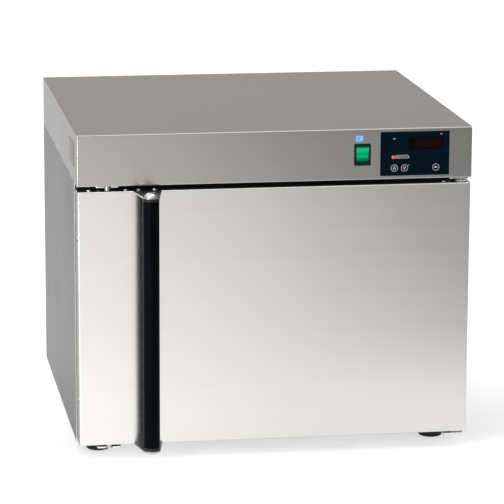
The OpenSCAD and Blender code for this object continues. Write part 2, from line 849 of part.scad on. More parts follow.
// folded tray that makes the front and the four edges of the door
module door_skin() color(steel_color) {
    height = z_door_high - z_door_low;
    difference() {
        translate([-door_half, y_hood, z_door_low])
            intersection() {
                folded_block(2 * door_half, door_thickness + edge_radius, height);
                cube([2 * door_half, door_thickness, height]);
            }
        span([sheet - door_half, y_hood + sheet, z_door_low + sheet],
            [door_half - sheet, y_hood + door_thickness + 1, z_door_high - sheet]);
        handle_plates(0.1);
        strike_pockets();
        for (z = [z_door_low, z_door_high])
            bar_z(pivot.x, pivot.y, z - 3, z + 3, bush_outer + 0.1);
        door_edge_screws() cylinder(d = 3.2, h = 16, center = true);
        for (x = [-1, 1], z = clip_z)
            translate([x * door_half, clip_y, z])
                cube([4, 14, 9], center = true);
    }
}

module strike_pockets()
    for (z = [z_door_low - 1, z_door_high - strike_sheet - 0.1])
        translate([catch_x, strike_y, z]) linear_extrude(strike_sheet + 1.1)
            rounded_rect(strike_size + [0.2, 0.2], 3);

// nylon clips seen in the slots on both edges of the door
module edge_clips() color([0.92, 0.92, 0.90])
    for (x = [-1, 1], z = clip_z)
        translate([x * (door_half - 2), clip_y, z])
            cube([3.2, 13.4, 3], center = true);

module door_insulation() color(wool_color)
    difference() {
        span([sheet + fit - door_half, y_hood + sheet + fit, z_door_low + sheet + fit],
            [door_half - sheet - fit, y_hood + door_thickness - 6,
                z_door_high - sheet - fit]);
        handle_plates(0.5);
        for (z = [z_door_low, z_door_high]) {
            bar_z(pivot.x, pivot.y, z - 18, z + 18, bush_outer + 1);
            translate([catch_x, strike_y, z])
                cube([strike_size.x + 2, strike_size.y + 2, 2 * strike_sheet + 1],
                    center = true);
        }
        door_edge_screws() cylinder(d = 4, h = 20, center = true);
        for (x = [-1, 1], z = clip_z)
            translate([x * door_half, clip_y, z])
                cube([9, 16, 10], center = true);
    }

inner_panel_edge = 1.6;
plateau_inset = 52;
plateau_height = 4;

// inner tray of the door with a raised field that faces the chamber
module door_inner_panel() color(liner_color) {
    back = y_hood + door_thickness;
    mid_z = (z_door_low + z_door_high) / 2;
    size = [2 * (door_half - sheet) - inner_panel_edge,
        z_door_high - z_door_low - 2 * sheet - inner_panel_edge];
    difference() {
        union() {
            facing(0, back - 5, mid_z, 5) rounded_rect(size, 2);
            facing(0, back - 5, mid_z, 5 + plateau_height)
                rounded_rect([cabinet_width - 2 * plateau_inset,
                    chamber_high - chamber_low - 20], 10);
        }
        facing(0, back - 6, mid_z, 5) rounded_rect(size - [4, 4], 1.5);
        facing(0, back - 6, mid_z, 5 + plateau_height)
            rounded_rect([cabinet_width - 2 * plateau_inset - 2,
                chamber_high - chamber_low - 22], 9);
    }
}

// silicone seal between the door and the front frame
module door_gasket() color([0.16, 0.16, 0.17]) {
    base = y_hood + door_thickness;
    inner = [2 * chamber_half + 6, chamber_high - chamber_low + 6];
    difference() {
        union() {
            facing(0, base, chamber_mid, 2.5) rounded_rect(inner + [24, 24], 20);
            facing(0, base, chamber_mid, gasket_gap - fit)
                rounded_rect(inner + [16, 16], 17);
        }
        facing(0, base - 1, chamber_mid, 12) rounded_rect(inner, 12);
        // hollow of the seal lip
        difference() {
            facing(0, base + 1.5, chamber_mid, gasket_gap - 3)
                rounded_rect(inner + [13, 13], 15.5);
            facing(0, base, chamber_mid, 12) rounded_rect(inner + [3, 3], 13.5);
        }
    }
}

// ---------------------------------------------------------------- handle

// outline of one handle bracket: foot inside the door, round nose under the grip
module handle_plate_outline(grow) {
    nose = bracket_tip + grow;
    foot = bracket_width / 2 + grow;
    reach = handle_reach;
    // where the straight sides touch the round nose
    angle = atan2(reach, foot) - acos(nose / norm([foot, reach]));
    touch = nose * [cos(angle), sin(angle)];
    circle(nose);
    polygon([[-touch.x, touch.y], touch, [foot, reach], [foot, reach + 20 + grow],
        [-foot, reach + 20 + grow], [-foot, reach]]);
}

module handle_plates(grow) {
    for (z = [z_door_low, z_door_high - bracket_plate])
        translate([handle_x, handle_y, z - grow])
            linear_extrude(bracket_plate + 2 * grow) handle_plate_outline(grow);
}

module handle_bracket(z) color(steel_color)
    difference() {
        translate([handle_x, handle_y, z]) linear_extrude(bracket_plate)
            handle_plate_outline(0);
        bar_z(handle_x, handle_y, z - 1, z + 5, handle_bolt + 0.2);
        for (s = [-1, 1])
            bar_z(handle_x + s * handle_screw_pitch / 2, y_hood + 11, z - 1, z + 5, 3.2);
    }

module handle_bracket_top() handle_bracket(z_door_high - bracket_plate);
module handle_bracket_bottom() handle_bracket(z_door_low);

handle_bolt = 8;
cap_height = 4.5;
tube_wall = 2.5;

module handle_tube() color(dark_color)
    difference() {
        bar_z(handle_x, handle_y, z_door_low + bracket_plate + cap_height,
            z_door_high - bracket_plate - cap_height, handle_diameter);
        bar_z(handle_x, handle_y, z_door_low, z_door_high,
            handle_diameter - 2 * tube_wall);
    }

// end caps with a spigot inside the grip
module handle_caps() color([0.06, 0.06, 0.07])
    for (z = [z_door_low, z_door_high])
        translate([handle_x, handle_y, z]) mirror([0, 0, z == z_door_low ? 0 : 1])
            difference() {
                union() {
                    translate([0, 0, bracket_plate])
                        cylinder(d = handle_diameter + 0.6, h = cap_height);
                    translate([0, 0, bracket_plate])
                        cylinder(d = handle_diameter - 2 * tube_wall, h = 22);
                }
                cylinder(d = handle_bolt + 0.2, h = 60, center = true);
            }

// dome-headed bolts that clamp the grip between its brackets
module handle_bolts() color([0.92, 0.92, 0.92])
    for (z = [z_door_low, z_door_high])
        translate([handle_x, handle_y, z]) mirror([0, 0, z == z_door_low ? 1 : 0]) {
            dome = 20;
            rise = 6;
            sphere_radius = (dome * dome / 4 + rise * rise) / (2 * rise);
            intersection() {
                translate([0, 0, rise - sphere_radius]) sphere(sphere_radius);
                cylinder(d = dome, h = rise + 1);
            }
            translate([0, 0, -24]) cylinder(d = handle_bolt, h = 24.2);
        }

// ---------------------------------------------------------------- feet

foot_diameter = 38;
foot_stud = 8;
foot_inset = 38;
foot_recess = 18;
// rubber between the screw head and the floor panel
foot_web = 8;

module at_feet()
    for (x = [-1, 1], y = [y_cabinet + 45, y_rear - 50])
        translate([x * (half_width - foot_inset), y, z_floor]) children();

// rubber foot with a rounded tread and a recess for its screw
module feet() color([0.05, 0.05, 0.05])
    at_feet() translate([0, 0, -foot_height]) {
        r = foot_diameter / 2;
        tread = 4;
        rotate_extrude() difference() {
            union() {
                square([r - tread, foot_height]);
                translate([0, tread]) square([r, foot_height - tread]);
                translate([r - tread, tread]) circle(tread);
            }
            translate([0, -1]) square([foot_recess / 2, foot_height - foot_web + 1]);
            translate([0, -1]) square([foot_stud / 2 + 0.2, foot_height + 2]);
        }
    }

// socket-head screw in each recess, through the rubber into the floor panel
module foot_screws() color([0.70, 0.70, 0.68])
    at_feet() {
        head = 6;
        translate([0, 0, -foot_web - head]) difference() {
            cylinder(d = foot_recess - 2, h = head);
            translate([0, 0, -0.1]) cylinder(d = foot_stud, h = head / 2, $fn = 6);
        }
        translate([0, 0, -foot_web - 1]) cylinder(d = foot_stud, h = foot_web + 11);
    }

hood_cover();
side_panel_left();
side_panel_right();
floor_panel();
rear_panel();
top_deck();
front_frame();
cabinet_insulation();
inner_liner();
shelf_rack_left();
shelf_rack_right();
shelf_upper();
shelf_lower();
air_baffle();
heater();
fan_motor();
fan_shaft();
fan_wheel();
temperature_probe();
limit_sensor();
keypad_overlay();
display_window();
key_up();
key_down();
key_set();
controller_housing();
controller_board();
switch_body();
switch_rocker();
switch_label();
terminal_block();
relay_heatsink();
power_inlet();
inlet_pins();
cable_gland();
rating_plate();
hood_screws();
hinge_bracket_top();
hinge_bracket_bottom();
hinge_pins();
hinge_bushes();
catch_bracket_top();
catch_bracket_bottom();
catch_magnets();
bracket_screws();
strike_plates();
door_skin();
door_inner_panel();
door_insulation();
door_gasket();
edge_clips();
door_screws();
handle_tube();
handle_caps();
handle_bracket_top();
handle_bracket_bottom();
handle_bolts();
feet();
foot_screws();
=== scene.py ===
"""Looks of the laboratory incubator: steel, plastics, printed panel, lights and camera."""
import math

import bmesh
import bpy
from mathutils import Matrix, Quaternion, Vector


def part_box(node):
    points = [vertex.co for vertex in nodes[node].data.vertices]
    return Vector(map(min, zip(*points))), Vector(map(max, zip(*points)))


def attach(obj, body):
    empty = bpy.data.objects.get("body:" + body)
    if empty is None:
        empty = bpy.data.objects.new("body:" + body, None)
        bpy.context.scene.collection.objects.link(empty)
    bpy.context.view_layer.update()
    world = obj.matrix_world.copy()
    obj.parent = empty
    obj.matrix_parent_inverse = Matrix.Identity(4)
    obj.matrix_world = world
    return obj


MM = 0.001
INK = 0.06 * MM  # thickness of a print
SOFT_EDGE = 0.2 * MM  # width of a softened edge

# patterns in the brushed steel, in features per metre
LINES, STREAKS, CLOUDS, DENTS = 1500, 60, 7, 3.5
# height of a brush mark in the steel as a fraction of its length
GRAIN_STRETCH = 0.012

# painted light on the clear rocker, by height from its lower end to its top: the bright
# bands are painted highlights, the darker line between them and both ends painted shade
LENS_PAINTED_LIGHT = ((0.02, (0.0003, 0.010, 0.006)), (0.14, (0.0003, 0.070, 0.036)),
              (0.28, (0.0003, 0.180, 0.075)), (0.42, (0.0010, 0.400, 0.150)),
              (0.50, (0.0003, 0.240, 0.080)), (0.58, (0.0003, 0.250, 0.082)),
              (0.74, (0.0010, 0.400, 0.140)), (0.88, (0.0020, 0.400, 0.165)),
              (0.96, (0.0003, 0.120, 0.055)), (1.00, (0.0003, 0.020, 0.012)))

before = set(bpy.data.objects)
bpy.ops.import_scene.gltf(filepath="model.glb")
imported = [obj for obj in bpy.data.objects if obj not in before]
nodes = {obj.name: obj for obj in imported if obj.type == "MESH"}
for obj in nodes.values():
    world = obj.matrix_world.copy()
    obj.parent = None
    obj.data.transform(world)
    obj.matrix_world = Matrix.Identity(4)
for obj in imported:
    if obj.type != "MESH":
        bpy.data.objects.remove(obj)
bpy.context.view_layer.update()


# ------------------------------------------------------------------ node tools

class Nodes:
    """Shorthand for building in a node tree. Values are output sockets."""

    def __init__(self, tree):
        self.tree = tree

    def node(self, kind, **settings):
        made = self.tree.nodes.new(kind)
        for key, value in settings.items():
            setattr(made, key, value)
        return made

    def link(self, source, target):
        self.tree.links.new(source, target)

    def parts(self, coordinate):
        """The X, Y and Z values of a texture coordinate."""
        place = self.node("ShaderNodeTexCoord")
        split = self.node("ShaderNodeSeparateXYZ")
        self.link(place.outputs[coordinate], split.inputs["Vector"])
        return split.outputs

    def span(self, value, start, end, low, high, ease="LINEAR"):
        """Goes from low to high while the value goes from start to end."""
        made = self.node("ShaderNodeMapRange", interpolation_type=ease)
        for socket, number in (("From Min", start), ("From Max", end),
                               ("To Min", low), ("To Max", high)):
            made.inputs[socket].default_value = number
        self.link(value, made.inputs["Value"])
        return made.outputs["Result"]

    def slope(self, value, start, end, low, high):
        """Eases from low to high while the value goes from start to end."""
        return self.span(value, start, end, low, high, ease="SMOOTHSTEP")

    def sum(self, first, second):
        made = self.node("ShaderNodeMath", operation="ADD")
        self.link(first, made.inputs[0])
        self.link(second, made.inputs[1])
        return made.outputs["Value"]


class Shader(Nodes):
    """A node material under construction, with one Principled surface."""

    def __init__(self, name):
        self.material = bpy.data.materials.new(name)
        self.material.use_nodes = True
        super().__init__(self.material.node_tree)
        self.surface = self.tree.nodes["Principled BSDF"]

    def set(self, **values):
        """Constant values for the surface, named like its sockets with underscores."""
        for key, value in values.items():
            self.surface.inputs[key.replace("_", " ")].default_value = value

    def cloud(self, vector, scale, detail, rough=0.5):
        """Noise over a vector, with about scale features to its unit."""
        made = self.node("ShaderNodeTexNoise")
        made.inputs["Scale"].default_value = scale
        made.inputs["Detail"].default_value = detail
        made.inputs["Roughness"].default_value = rough
        self.link(vector, made.inputs["Vector"])
        return made.outputs["Fac"]

    def noise(self, scale, stretch=(1, 1, 1), detail=3.0, rough=0.55):
        """Noise with about scale features to the metre, fewer along an axis whose stretch
        is under 1."""
        place = self.node("ShaderNodeTexCoord")
        mapping = self.node("ShaderNodeMapping")
        mapping.inputs["Scale"].default_value = stretch
        self.link(place.outputs["Object"], mapping.inputs["Vector"])
        return self.cloud(mapping.outputs["Vector"], scale, detail, rough)

    def spread(self, value, low, high):
        """Spreads a noise value, which is mostly 0.25 to 0.75, over low to high."""
        return self.span(value, 0.25, 0.75, low, high)

    def blend(self, factor, low, high):
        """Value low where factor is 0 and high where it is 1."""
        made = self.node("ShaderNodeMix", data_type="FLOAT")
        self.link(factor, made.inputs["Factor"])
        self.link(low, made.inputs["A"])
        self.link(high, made.inputs["B"])
        return made.outputs["Result"]

    def choose(self, factor, low, high):
        """Constant vector low where factor is 0 and high where it is 1."""
        made = self.node("ShaderNodeMix", data_type="VECTOR")
        made.inputs["A"].default_value = low
        made.inputs["B"].default_value = high
        self.link(factor, made.inputs["Factor"])
        return made.outputs["Result"]

    def ramp(self, value, stops):
        """Base colour by value, from (position, colour) stops."""
        made = self.node("ShaderNodeValToRGB")
        elements = made.color_ramp.elements
        while len(elements) < len(stops):
            elements.new(0.5)
        for element, (position, color) in zip(elements, stops):
            element.position = position
            element.color = (*color, 1)
        self.link(value, made.inputs["Fac"])
        self.link(made.outputs["Color"], self.surface.inputs["Base Color"])

    def tint(self, value, dark, light):
        """Base colour that runs from dark to light with a noise value."""
        self.ramp(value, ((0.3, dark), (0.7, light)))

    def roughness(self, value):
        self.link(value, self.surface.inputs["Roughness"])

    def bump(self, value, depth, under=None):
        """Relief of the given depth in metres, on top of another relief if there is one."""
        made = self.node("ShaderNodeBump")
        made.inputs["Distance"].default_value = depth
        self.link(value, made.inputs["Height"])
        if under:
            self.link(under, made.inputs["Normal"])
        self.link(made.outputs["Normal"], self.surface.inputs["Normal"])
        return made.outputs["Normal"]

    def facing_x(self, nearness=0.7):
        """1 on faces that look along X, 0 on the others."""
        size = self.node("ShaderNodeMath", operation="ABSOLUTE")
        self.link(self.parts("Normal")["X"], size.inputs[0])
        step = self.node("ShaderNodeMath", operation="GREATER_THAN")
        step.inputs[1].default_value = nearness
        self.link(size.outputs["Value"], step.inputs[0])
        return step.outputs["Value"]

    def grain(self, scale, side):
        """Noise drawn out level with the bench: along X, and along Y where side is 1."""
        place = self.node("ShaderNodeTexCoord")
        stretch = self.choose(side, (GRAIN_STRETCH, 1, 1), (1, GRAIN_STRETCH, 1))
        drawn = self.node("ShaderNodeVectorMath", operation="MULTIPLY")
        self.link(place.outputs["Object"], drawn.inputs[0])
        self.link(stretch, drawn.inputs[1])
        return self.cloud(drawn.outputs["Vector"], scale, detail=2.0)

    def spread_across_grain(self, side):
        """Draws highlights out across the grain, as brushed metal does."""
        along = self.choose(side, (1, 0, 0), (0, 1, 0))
        turned = self.node("ShaderNodeVectorTransform", vector_type="VECTOR",
                           convert_from="OBJECT", convert_to="WORLD")
        self.link(along, turned.inputs["Vector"])
        face = self.node("ShaderNodeNewGeometry")
        across = self.node("ShaderNodeVectorMath", operation="CROSS_PRODUCT")
        self.link(face.outputs["Normal"], across.inputs[0])
        self.link(turned.outputs["Vector"], across.inputs[1])
        self.link(across.outputs["Vector"], self.surface.inputs["Tangent"])


# ------------------------------------------------------------------ kinds of material

def shade(value):
    """Grey of the given linear brightness with the faint warmth of stainless steel."""
    return (value, value * 0.985, value * 0.965)


def stainless(name, brightness, roughness=0.22, anisotropy=0.6, edge=1.0):
    """Brushed sheet: fine level lines, faint streaks, shallow dents, and cloudy patches.
    edge is how much of its mirror-like shine is left at grazing angles."""
    shader = Shader(name)
    side = shader.facing_x()
    lines = shader.grain(LINES, side)
    streaks = shader.grain(STREAKS, side)
    clouds = shader.noise(CLOUDS, detail=4.0)
    dents = shader.noise(DENTS, detail=1.0)
    shader.tint(streaks, shade(brightness * 0.988), shade(brightness * 1.008))
    patches = shader.sum(shader.spread(streaks, -0.006, 0.006),
                         shader.spread(clouds, -0.008, 0.012))
    shader.roughness(shader.sum(
        shader.spread(lines, roughness - 0.02, roughness + 0.02), patches))
    shader.bump(lines, 0.0012 * MM, under=shader.bump(dents, 1.2 * MM))
    shader.set(Metallic=1.0, Anisotropic=anisotropy, Specular_Tint=(edge, edge, edge, 1))
    shader.spread_across_grain(side)
    return shader.material


def polished(name, brightness, roughness):
    """Turned or pressed metal with fine scratches."""
    shader = Shader(name)
    scratches = shader.noise(700, (1, 0.1, 1), detail=4.0)
    shader.tint(scratches, shade(brightness * 0.9), shade(brightness))
    shader.roughness(shader.spread(scratches, roughness * 0.7, roughness * 1.4))
    shader.bump(scratches, 0.003 * MM)
    shader.set(Metallic=1.0)
    return shader.material


def plastic(name, dark, light, roughness, texture=1500, relief=0.01 * MM, shine=0.5):
    """Plastic, rubber, paint or ink with fine pores and cloudy gloss. There are about
    texture pores to the metre, relief is their depth, and shine scales the reflections."""
    shader = Shader(name)
    pores = shader.noise(texture, detail=2.0)
    clouds = shader.noise(25, detail=3.0)
    shader.tint(clouds, dark, light)
    shader.roughness(shader.sum(
        shader.spread(pores, -0.04, 0.04),
        shader.spread(clouds, roughness - 0.04, roughness + 0.05)))
    shader.bump(pores, relief)
    shader.set(Specular_IOR_Level=shine)
    return shader.material


def lens(name):
    """Clear green rocker with painted light in its colour: the bright bands above and below
    its middle are painted highlights, and the darker middle and both dark ends are painted
    shade.
    """
    shader = Shader(name)
    # base colour by height: painted highlights and painted shade
    shader.ramp(shader.parts("Generated")["Z"], LENS_PAINTED_LIGHT)
    clouds = shader.noise(60, detail=3.0)
    shader.roughness(shader.spread(clouds, 0.28, 0.38))
    shader.bump(clouds, 0.04 * MM)
    shader.set(Specular_IOR_Level=0.02)
    return shader.material


def fibres(name, dark, light):
    """Mineral wool: tangled strands."""
    shader = Shader(name)
    strands = shader.noise(320, (1, 1, 0.25), detail=6.0, rough=0.7)
    shader.tint(strands, dark, light)
    shader.roughness(shader.spread(strands, 0.85, 1.0))
    shader.bump(strands, 0.6 * MM)
    return shader.material


looks = {
    # door, hood and sides are one brushed stainless: the hood's darker copy and the sides'
    # weaker edge shine are painted shade
    "door_steel": stainless("door_steel", 0.62, edge=0.40),
    "hood_steel_shaded": stainless("hood_steel_shaded", 0.38, edge=0.46),
    "side_steel_shaded": stainless("side_steel_shaded", 0.55, edge=0.24),
    "inner_steel": stainless("inner_steel", 0.62, 0.26),
    "bracket_steel": stainless("bracket_steel", 0.60, 0.22, anisotropy=0.2),
    # darker copy of the steel for the handle brackets: painted shade for the dark gap they
    # reflect
    "handle_steel_shaded": stainless("handle_steel_shaded", 0.28, 0.28, anisotropy=0.2),
    "rod_steel": polished("rod_steel", 0.72, 0.18),
    "screw_steel": polished("screw_steel", 0.85, 0.12),
    # darker copy of the polished steel: painted shade under the bracket plates
    "pin_steel": polished("pin_steel", 0.42, 0.25),
    "bolt_steel": polished("bolt_steel", 0.58, 0.07),
    "heater_steel": polished("heater_steel", 0.22, 0.42),
    "alloy": polished("alloy", 0.62, 0.35),
    "copper": polished("copper", 0.45, 0.30),
    "brass": polished("brass", 0.55, 0.25),
    # black front frame: painted shade, so that the gaps round the door look dark
    "frame_shade_black": plastic("frame_shade_black", (0.006, 0.006, 0.006), (0.010, 0.010, 0.010), 0.5,
                          texture=1100, relief=0.03 * MM, shine=0.25),
    "grip": plastic("grip", (0.0001, 0.0006, 0.0018), (0.0002, 0.0010, 0.0026), 0.38,
                    shine=0.03),
    "grip_cap": plastic("grip_cap", (0.003, 0.0035, 0.004), (0.005, 0.0055, 0.006), 0.5,
                        shine=0.25),
    "foot_rubber": plastic("foot_rubber", (0.004, 0.004, 0.004), (0.008, 0.008, 0.008),
                           0.62, texture=900, relief=0.04 * MM, shine=0.25),
    "seal": plastic("seal", (0.016, 0.016, 0.017), (0.026, 0.026, 0.028), 0.55,
                    shine=0.3),
    "membrane": plastic("membrane", (0.0002, 0.0034, 0.0072), (0.0004, 0.0044, 0.0090),
                        0.30, texture=2500, relief=0.004 * MM, shine=0.04),
    "window": plastic("window", (0.0008, 0.0012, 0.0016), (0.0014, 0.0016, 0.0020), 0.16,
                      texture=2500, relief=0.002 * MM, shine=0.03),
    "digit_strip": plastic("digit_strip", (0.0044, 0.0012, 0.0010),
                           (0.0058, 0.0022, 0.0012), 0.25, shine=0.03),
    "segment": plastic("segment", (0.0085, 0.0024, 0.0016), (0.0105, 0.0030, 0.0020),
                       0.25, shine=0.03),
    "moulding": plastic("moulding", (0.001, 0.004, 0.0035), (0.002, 0.006, 0.005), 0.35,
                        shine=0.2),
    "rocker": lens("rocker"),
    "label": plastic("label", (0.170, 0.400, 0.740), (0.195, 0.440, 0.800), 0.35,
                     shine=0.1),
    "rating": plastic("rating", (0.116, 0.098, 0.088), (0.136, 0.115, 0.103), 0.45,
                      shine=0.2),
    "nylon": plastic("nylon", (0.72, 0.71, 0.68), (0.80, 0.79, 0.76), 0.42),
    "terminal": plastic("terminal", (0.55, 0.55, 0.50), (0.62, 0.62, 0.58), 0.5),
    "circuit": plastic("circuit", (0.006, 0.10, 0.03), (0.010, 0.14, 0.05), 0.4),
    "motor_paint": plastic("motor_paint", (0.05, 0.052, 0.056), (0.07, 0.072, 0.077),
                           0.45),
    "wool": fibres("wool", (0.42, 0.34, 0.16), (0.62, 0.53, 0.30)),
    "ink_white": plastic("ink_white", (0.66, 0.68, 0.69), (0.76, 0.77, 0.78), 0.45),
    "ink_pale": plastic("ink_pale", (0.30, 0.33, 0.35), (0.38, 0.41, 0.43), 0.45),
    "ink_grey": plastic("ink_grey", (0.20, 0.22, 0.23), (0.26, 0.28, 0.29), 0.45),
    "ink_red": plastic("ink_red", (0.52, 0.07, 0.05), (0.62, 0.09, 0.07), 0.45),
    "ink_green": plastic("ink_green", (0.004, 0.018, 0.016), (0.006, 0.024, 0.021), 0.4,
                         shine=0.1),
    "ink_blue": plastic("ink_blue", (0.020, 0.110, 0.420), (0.026, 0.130, 0.480), 0.35,
                        shine=0.1),
}

NODES_OF_LOOK = {
    "door_steel": ["door_skin"],
    "hood_steel_shaded": ["hood_cover"],
    "side_steel_shaded": ["side_panel_left", "side_panel_right", "floor_panel", "rear_panel",
                   "top_deck"],
    "inner_steel": ["inner_liner", "shelf_rack_left", "shelf_rack_right", "air_baffle",
                    "fan_wheel", "door_inner_panel"],
    "bracket_steel": ["hinge_bracket_top", "hinge_bracket_bottom", "catch_bracket_top",
                      "catch_bracket_bottom"],
    "handle_steel_shaded": ["handle_bracket_top", "handle_bracket_bottom"],
    "rod_steel": ["shelf_upper", "shelf_lower", "temperature_probe", "fan_shaft"],
    "screw_steel": ["hood_screws", "bracket_screws", "door_screws", "foot_screws"],
    "bolt_steel": ["handle_bolts"],
    "pin_steel": ["hinge_pins", "catch_magnets", "strike_plates"],
    "heater_steel": ["heater"],
    "alloy": ["relay_heatsink"],
    "copper": ["limit_sensor"],
    "brass": ["inlet_pins"],
    "grip": ["handle_tube"],
    "grip_cap": ["handle_caps"],
    "foot_rubber": ["feet"],
    "frame_shade_black": ["front_frame"],
    "seal": ["door_gasket"],
    "membrane": ["keypad_overlay", "key_up", "key_down", "key_set"],
    "window": ["display_window"],
    "moulding": ["switch_body", "controller_housing", "power_inlet", "cable_gland"],
    "rocker": ["switch_rocker"],
    "label": ["switch_label"],
    "rating": ["rating_plate"],
    "nylon": ["edge_clips", "hinge_bushes"],
    "terminal": ["terminal_block"],
    "circuit": ["controller_board"],
    "motor_paint": ["fan_motor"],
    "wool": ["cabinet_insulation", "door_insulation"],
}
for look, names in NODES_OF_LOOK.items():
    for name in names:
        nodes[name].data.materials.clear()
        nodes[name].data.materials.append(looks[look])


# ------------------------------------------------------------------ softened edges

def soften(name, width):
    """Rounds the sharp edges of a CAD node a little, so that they catch the light."""
    weld = nodes[name].modifiers.new("weld", "WELD")
    weld.merge_threshold = 0.001 * MM
    bevel = nodes[name].modifiers.new("bevel", "BEVEL")
    bevel.width = width
    bevel.segments = 2
    bevel.limit_method = "ANGLE"
    bevel.angle_limit = math.radians(40)
    even = nodes[name].modifiers.new("even", "WEIGHTED_NORMAL")
    even.weight = 100


for name in ("switch_rocker", "switch_body", "keypad_overlay", "rating_plate",
             *NODES_OF_LOOK["handle_steel_shaded"], *NODES_OF_LOOK["bracket_steel"]):
    soften(name, SOFT_EDGE)


# ------------------------------------------------------------------ flat prints

def object_from(mesh, name, material):
    """Scene object made from a bmesh, which is freed."""
    data = bpy.data.meshes.new(name)
    mesh.to_mesh(data)
    mesh.free()
    data.materials.append(material)
    made = bpy.data.objects.new(name, data)
    bpy.context.scene.collection.objects.link(made)
    return made


class Print:
    """Thin raised ink on an upright face that looks towards -Y."""

    def __init__(self, face, thickness=INK):
        self.mesh = bmesh.new()
        self.front = face - thickness
        self.back = face

    def outline(self, points):
        """Filled outline from (x, z) points."""
        faces = []
        for y in (self.front, self.back):
            corners = [self.mesh.verts.new((x, y, z)) for x, z in points]
            faces.append(self.mesh.faces.new(corners))
        front, back = (list(f.verts) for f in faces)
        count = len(points)
        for i in range(count):
            j = (i + 1) % count
            self.mesh.faces.new((front[i], front[j], back[j], back[i]))

    def bar(self, x, z, width, height, slant=0.0):
        """Rectangle about (x, z), its top pushed sideways by slant."""
        w, h = width / 2, height / 2
        self.outline([(x - w, z - h), (x + w, z - h), (x + w + slant, z + h),
                      (x - w + slant, z + h)])

    def disc(self, x, z, radius, sides=32):
        turn = 2 * math.pi / sides
        self.outline([(x + radius * math.cos(i * turn), z + radius * math.sin(i * turn))
                      for i in range(sides)])

    def arc(self, x, z, radius, width, start=0.0, end=360.0, sides=48):
        """Band of the given width along part of a circle, angles in degrees."""
        step = math.radians(end - start) / sides
        for i in range(sides):
            corners = []
            for r, k in ((radius, i), (radius, i + 1), (radius - width, i + 1),
                         (radius - width, i)):
                a = math.radians(start) + k * step
                corners.append((x + r * math.cos(a), z + r * math.sin(a)))
            self.outline(corners)

    def stroke(self, points, width):
        """Line of even width through (x, z) points."""
        for (x0, z0), (x1, z1) in zip(points, points[1:]):
            along = Vector((x1 - x0, z1 - z0)).normalized() * width / 2
            across = Vector((-along.y, along.x))
            self.outline([(x0 - along.x - across.x, z0 - along.y - across.y),
                          (x1 + along.x - across.x, z1 + along.y - across.y),
                          (x1 + along.x + across.x, z1 + along.y + across.y),
                          (x0 - along.x + across.x, z0 - along.y + across.y)])

    def finish(self, name, look, body):
        """Makes the piece, which rides on a body and has the material of the given look."""
        bmesh.ops.recalc_face_normals(self.mesh, faces=self.mesh.faces)
        made = object_from(self.mesh, name, looks[look])
        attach(made, body)


def middle(name):
    """Centre of the box round a CAD node."""
    low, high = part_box(name)
    return (low + high) / 2


def triangle_sign(sign, x, z, up):
    """Outlined triangle that points up, or down where up is -1."""
    half, base, tip = 2.1 * MM, up * 1.5 * MM, up * 2.3 * MM
    sign.stroke([(x - half, z - base), (x, z + tip), (x + half, z - base),
                 (x - half, z - base)], 0.4 * MM)


def arrow_sign(sign, x, z):
    """Solid arrow that points left."""
    tip, neck, tail = x - 2.3 * MM, x - 0.6 * MM, x + 2.1 * MM
    barb, shaft = 1.4 * MM, 0.5 * MM
    sign.outline([(tip, z), (neck, z + barb), (neck, z + shaft), (tail, z + shaft),
                  (tail, z - shaft), (neck, z - shaft), (neck, z - barb)])


def key_prints(node, body, draw, *options):
    """Printed ring on the rim of a key, and a sign on its dished face."""
    dish = 0.2 * MM
    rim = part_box(node)[0].y
    centre = middle(node)
    ring = Print(rim)
    ring.arc(centre.x, centre.z, radius=5.1 * MM, width=0.34 * MM)
    ring.finish(node + "_ring", "ink_white", body)
    sign = Print(rim + dish)
    draw(sign, centre.x, centre.z, *options)
    sign.finish(node + "_sign", "ink_white", body)


def panel_marks():
    """Small pale marks and two dark lamps on the membrane panel."""
    low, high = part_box("keypad_overlay")
    key = middle("key_down")
    marks = Print(low.y)
    marks.bar(low.x + 21.0 * MM, high.z - 10.5 * MM, 3.8 * MM, 1.0 * MM)
    marks.bar(high.x - 12.4 * MM, high.z - 4.6 * MM, 2.6 * MM, 1.2 * MM, slant=-0.7 * MM)
    marks.bar(key.x + 6.9 * MM, key.z + 4.4 * MM, 1.2 * MM, 1.2 * MM)
    marks.finish("panel_marks", "ink_pale", "cabinet")
    lamps = Print(low.y)
    for drop in (6.0 * MM, 58.8 * MM):
        lamps.disc(high.x - 4.6 * MM, high.z - drop, 1.1 * MM, sides=20)
    lamps.finish("panel_lamps", "ink_green", "cabinet")


def thermometer():
    """Pictogram above the keys: red bulb and thread, white stem and scale."""
    low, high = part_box("keypad_overlay")
    x, z = low.x + 19.5 * MM, high.z - 38.5 * MM
    start, end, half = x + 3.0 * MM, x + 24 * MM, 1.5 * MM
    bulb = Print(low.y)
    bulb.disc(x, z, 2.6 * MM)
    bulb.bar(x + 6 * MM, z, 9 * MM, 0.9 * MM)
    bulb.finish("thermometer_bulb", "ink_red", "cabinet")
    stem = Print(low.y)
    stem.stroke([(start, z + half), (end, z + half), (end, z - half), (start, z - half)],
                0.4 * MM)
    for i in range(7):
        stem.bar(x + (5.5 + 2.8 * i) * MM, z + 2.9 * MM, 0.35 * MM, 1.2 * MM)
    stem.finish("thermometer_stem", "ink_white", "cabinet")


def digit(ink, x, z, width=6.0 * MM, height=11.5 * MM, bar=1.0 * MM, lean=0.5 * MM):
    """Seven segments and a point about (x, z), leaning to the right."""
    for level in (-1, 0, 1):
        ink.bar(x + level * lean, z + level * (height - bar) / 2, width - 2.6 * bar, bar)
    for side in (-1, 1):
        for half in (-1, 1):
            ink.bar(x + side * (width - bar) / 2 + half * lean / 2,
                    z + half * (height - bar) / 4, bar, height / 2 - 1.3 * bar,
                    slant=lean / 2)
    ink.disc(x + width / 2 + 1.5 * MM, z - height / 2 + bar / 2, 0.6 * MM, sides=16)


